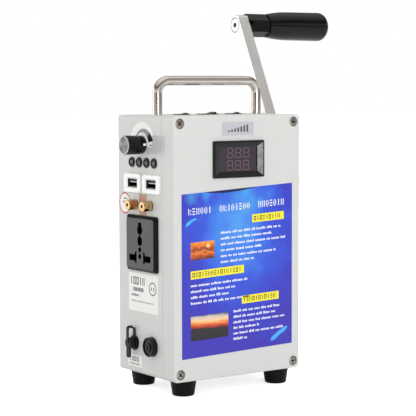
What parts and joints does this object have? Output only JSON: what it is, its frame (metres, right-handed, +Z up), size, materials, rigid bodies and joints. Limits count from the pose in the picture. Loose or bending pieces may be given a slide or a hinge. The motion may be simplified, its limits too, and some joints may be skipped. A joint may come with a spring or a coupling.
{
  "type": "hand crank generator",
  "caption": "Portable box with a side crank that drives an inner generator, a carry handle, rocker switches, a panel meter and a side panel of power outlets.",
  "frame": {"origin": "on the ground, under the middle of the enclosure", "axes": "+Z up; the front cover faces -Y; the outlet panel faces -X and the crank is on +X"},
  "size_m": [0.243, 0.1166, 0.3005],
  "materials": {
    "case_plastic": "light grey moulded, fine texture",
    "gasket_rubber": "matte black",
    "screw_steel": "stainless",
    "brass": "turned",
    "foot_rubber": "matte black",
    "handle_steel": "polished stainless",
    "meter_plastic": "black satin",
    "meter_lens": "dark red tinted",
    "circuit_board": "green laminate",
    "label_vinyl": "printed blue vinyl",
    "paper_label": "printed white",
    "tape_film": "thin grey film",
    "pot_metal": "zinc plated",
    "knob_plastic": "black",
    "knob_disc": "spun",
    "black_plastic": "black",
    "lamp_clear": "clear lens",
    "white_plastic": "white",
    "usb_shell": "nickel plated",
    "socket_plastic": "dark grey moulded",
    "cap_rubber": "soft black",
    "fuse_glass": "clear tube",
    "arm_aluminium": "brushed",
    "shaft_steel": "ground",
    "black_oxide": "black oxide",
    "grip_plastic": "black glossy",
    "gear_plastic": "natural acetal",
    "bearing_bronze": "sintered",
    "plate_steel": "zinc plated",
    "cell_wrap": "shrink wrap",
    "transformer_core": "laminated"
  },
  "bodies": {
    "box": {"rear_case": "case_plastic", "front_cover": "case_plastic", "cover_gasket": "gasket_rubber", "cover_screws": "screw_steel", "screw_inserts": "brass", "feet": "foot_rubber", "foot_screws": "screw_steel", "carry_handle": "handle_steel", "handle_screws": "screw_steel", "meter_bezel": "meter_plastic", "meter_window": "meter_lens", "meter_board": "circuit_board", "front_label": "label_vinyl", "dial_plate": "paper_label", "panel_labels": "paper_label", "seal_tape": "tape_film", "potentiometer": "pot_metal", "lamp_bezels": "black_plastic", "lamp_leds": "lamp_clear", "usb_bezel_1": "white_plastic", "usb_bezel_2": "white_plastic", "usb_port_1": "usb_shell", "usb_port_2": "usb_shell", "post_stud_1": "brass", "post_stud_2": "brass", "post_insulators": "black_plastic", "socket_face": "socket_plastic", "socket_contacts": "brass", "charge_jack": "black_plastic", "charge_cap_strap": "cap_rubber", "fuse_holder": "black_plastic", "switch_frames": "black_plastic", "idler_axle": "shaft_steel", "generator_motor": "plate_steel", "gear_plate": "plate_steel", "shaft_bearings": "bearing_bronze", "battery_cells": "cell_wrap", "battery_cradle": "black_plastic", "inverter_board": "circuit_board", "transformer": "transformer_core"},
    "crank": {"crank_shaft": "shaft_steel", "crank_arm": "arm_aluminium", "crank_nut": "shaft_steel", "grip_screw": "shaft_steel", "grip_collar": "black_oxide", "drive_gear": "gear_plastic"},
    "grip": {"grip_sleeve": "grip_plastic"},
    "idler": {"idler_gear": "gear_plastic"},
    "generator_rotor": {"generator_pinion": "shaft_steel"},
    "knob": {"pot_shaft": "pot_metal", "knob_body": "knob_plastic", "knob_cap": "knob_disc"},
    "rocker_1": {"switch_rocker_1": "black_plastic"},
    "rocker_2": {"switch_rocker_2": "black_plastic"},
    "rocker_3": {"switch_rocker_3": "black_plastic"},
    "fuse_carrier": {"fuse_link": "fuse_glass"},
    "fuse_bayonet": {"fuse_cap": "black_plastic"},
    "jack_cap": {"charge_cap": "cap_rubber"},
    "terminal_1": {"post_nut_1": "brass"},
    "terminal_2": {"post_nut_2": "brass"}
  },
  "joints": [
    {"name": "crank_turn", "type": "hinge", "parent": "box", "child": "crank", "pos_m": [0.076, 0, 0.16], "axis": [1, 0, 0], "continuous": true},
    {"name": "grip_spin", "type": "hinge", "parent": "crank", "child": "grip", "pos_m": [0.1265, 0.06136, 0.28806], "axis": [1, 0, 0], "continuous": true},
    {"name": "idler_turn", "type": "hinge", "parent": "box", "child": "idler", "pos_m": [0.045, 0, 0.1276], "axis": [1, 0, 0], "continuous": true},
    {"name": "generator_turn", "type": "hinge", "parent": "box", "child": "generator_rotor", "pos_m": [0.042, 0, 0.0984], "axis": [1, 0, 0], "continuous": true},
    {"name": "knob_turn", "type": "hinge", "parent": "box", "child": "knob", "pos_m": [-0.068, 0.0024, 0.1919], "axis": [1, 0, 0], "range_deg": [-235, 45]},
    {"name": "rocker_1_tip", "type": "hinge", "parent": "box", "child": "rocker_1", "pos_m": [-0.0248, 0, 0.2139], "axis": [0, 1, 0], "range_deg": [0, 16]},
    {"name": "rocker_2_tip", "type": "hinge", "parent": "box", "child": "rocker_2", "pos_m": [0, 0, 0.2139], "axis": [0, 1, 0], "range_deg": [0, 16]},
    {"name": "rocker_3_tip", "type": "hinge", "parent": "box", "child": "rocker_3", "pos_m": [0.0248, 0, 0.2139], "axis": [0, 1, 0], "range_deg": [0, 16]},
    {"name": "fuse_draw", "type": "slide", "parent": "box", "child": "fuse_carrier", "axis": [-1, 0, 0], "range_m": [0, 0.026]},
    {"name": "fuse_cap_turn", "type": "hinge", "parent": "fuse_carrier", "child": "fuse_bayonet", "pos_m": [-0.0624, -0.0104, 0.0361], "axis": [1, 0, 0], "range_deg": [0, 90]},
    {"name": "jack_cap_pull", "type": "slide", "parent": "box", "child": "jack_cap", "axis": [-1, 0, 0], "range_m": [0, 0.005]},
    {"name": "terminal_1_turn", "type": "hinge", "parent": "box", "child": "terminal_1", "pos_m": [-0.064, 0.0123, 0.1451], "axis": [1, 0, 0], "range_deg": [0, 360]},
    {"name": "terminal_2_turn", "type": "hinge", "parent": "box", "child": "terminal_2", "pos_m": [-0.064, -0.0087, 0.1451], "axis": [1, 0, 0], "range_deg": [0, 360]}
  ],
  "couplings": [
    {"joint": "idler_turn", "follows": "crank_turn", "ratio": -3.7647},
    {"joint": "generator_turn", "follows": "crank_turn", "ratio": 12.401}
  ]
}
